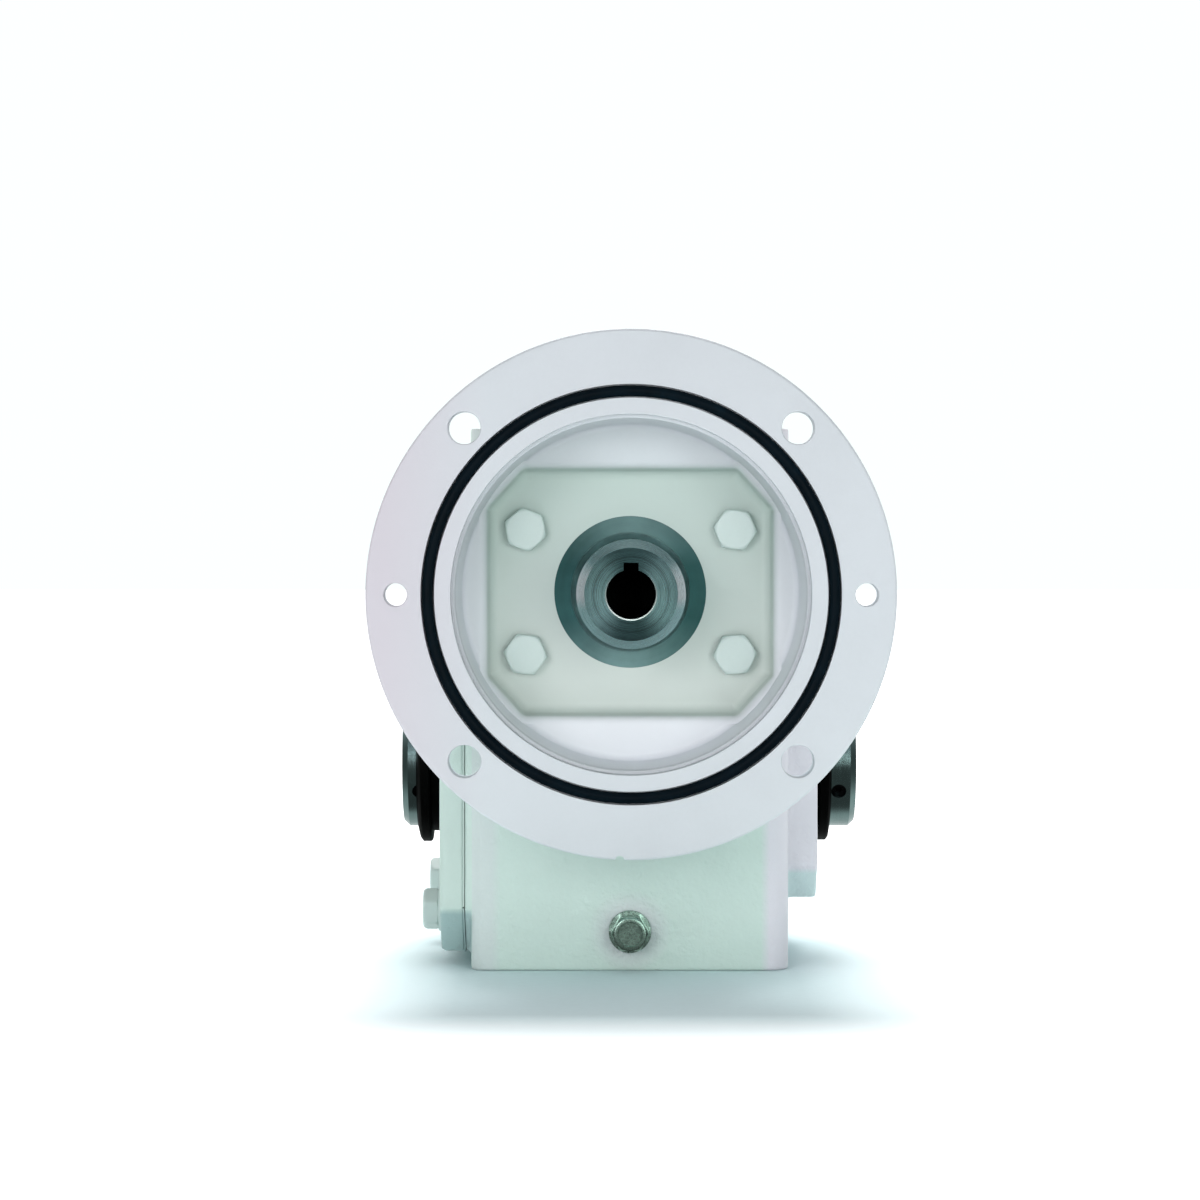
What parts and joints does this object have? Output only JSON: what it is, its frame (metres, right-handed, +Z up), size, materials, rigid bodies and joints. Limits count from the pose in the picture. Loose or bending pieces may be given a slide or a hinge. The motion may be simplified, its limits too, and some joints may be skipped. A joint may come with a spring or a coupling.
{
  "type": "industrial gearbox",
  "caption": "Right-angle worm gearbox with a round motor flange in front, hollow keyed input and hollow keyed output shaft through a square cast housing.",
  "frame": {"origin": "centre of the hollow output shaft, on its axis", "axes": "+X along the output shaft, away from the bolted side cover; +Z up; the motor flange faces -Y"},
  "size_m": [0.1683, 0.1982, 0.2105],
  "materials": {
    "paint": "white washdown epoxy over cast iron, satin",
    "gasket": "compressed fibre sheet",
    "rubber": "black nitrile rubber",
    "seal_steel": "plain pressed steel",
    "bearing_steel": "ground bearing steel",
    "bronze": "cut bronze and brass",
    "spring_steel": "blackened spring steel",
    "shaft_steel": "turned and ground steel",
    "cast_iron": "machined grey iron",
    "stainless": "stainless steel"
  },
  "bodies": {
    "gearcase": {"housing": "paint", "motor_flange": "paint", "flange_gasket": "gasket", "flange_o_ring": "rubber", "flange_bolts": "paint", "input_seal_case": "seal_steel", "input_seal_lip": "rubber", "front_bearing_outer_race": "bearing_steel", "front_snap_ring": "spring_steel", "rear_bearing_outer_race": "bearing_steel", "rear_cover": "paint", "rear_cover_gasket": "gasket", "rear_cover_bolts": "paint", "side_cover": "paint", "side_cover_gasket": "gasket", "side_cover_bolts": "paint", "side_cover_washers": "paint", "left_bearing_outer_race": "bearing_steel", "right_bearing_outer_race": "bearing_steel", "left_seal_case": "seal_steel", "left_seal_lip": "rubber", "right_seal_case": "seal_steel", "right_seal_lip": "rubber", "drain_plug": "stainless", "level_plug": "stainless", "breather_body": "stainless", "breather_cap": "stainless", "nameplate": "stainless", "nameplate_pins": "stainless"},
    "output": {"output_shaft": "shaft_steel", "worm_wheel_rim": "bronze", "worm_wheel_hub": "cast_iron", "wheel_key": "shaft_steel", "left_spacer": "shaft_steel", "right_spacer": "shaft_steel", "set_screws": "shaft_steel", "left_v_ring": "rubber", "right_v_ring": "rubber", "left_bearing_inner_race": "bearing_steel", "right_bearing_inner_race": "bearing_steel"},
    "worm": {"worm_shaft": "shaft_steel", "front_bearing_inner_race": "bearing_steel", "rear_bearing_inner_race": "bearing_steel", "rear_snap_ring": "spring_steel"},
    "front_cage": {"front_bearing_cage": "bronze", "front_bearing_balls": "bearing_steel"},
    "rear_cage": {"rear_bearing_cage": "bronze", "rear_bearing_balls": "bearing_steel"},
    "left_cage": {"left_bearing_cage": "bronze", "left_bearing_balls": "bearing_steel"},
    "right_cage": {"right_bearing_cage": "bronze", "right_bearing_balls": "bearing_steel"}
  },
  "joints": [
    {"name": "output_spin", "type": "hinge", "parent": "gearcase", "child": "output", "pos_m": [0, 0, 0], "axis": [1, 0, 0], "continuous": true},
    {"name": "input_spin", "type": "hinge", "parent": "gearcase", "child": "worm", "pos_m": [0, 0, 0.06032], "axis": [0, 1, 0], "continuous": true},
    {"name": "front_cage_spin", "type": "hinge", "parent": "gearcase", "child": "front_cage", "pos_m": [0, -0.057, 0.06032], "axis": [0, 1, 0], "continuous": true},
    {"name": "rear_cage_spin", "type": "hinge", "parent": "gearcase", "child": "rear_cage", "pos_m": [0, 0.0525, 0.06032], "axis": [0, 1, 0], "continuous": true},
    {"name": "left_cage_spin", "type": "hinge", "parent": "gearcase", "child": "left_cage", "pos_m": [-0.045, 0, 0], "axis": [1, 0, 0], "continuous": true},
    {"name": "right_cage_spin", "type": "hinge", "parent": "gearcase", "child": "right_cage", "pos_m": [0.045, 0, 0], "axis": [1, 0, 0], "continuous": true}
  ],
  "couplings": [
    {"joint": "input_spin", "follows": "output_spin", "ratio": 20},
    {"joint": "front_cage_spin", "follows": "output_spin", "ratio": 8.3629},
    {"joint": "rear_cage_spin", "follows": "output_spin", "ratio": 7.3542},
    {"joint": "left_cage_spin", "follows": "output_spin", "ratio": 0.42725},
    {"joint": "right_cage_spin", "follows": "output_spin", "ratio": 0.42725}
  ]
}
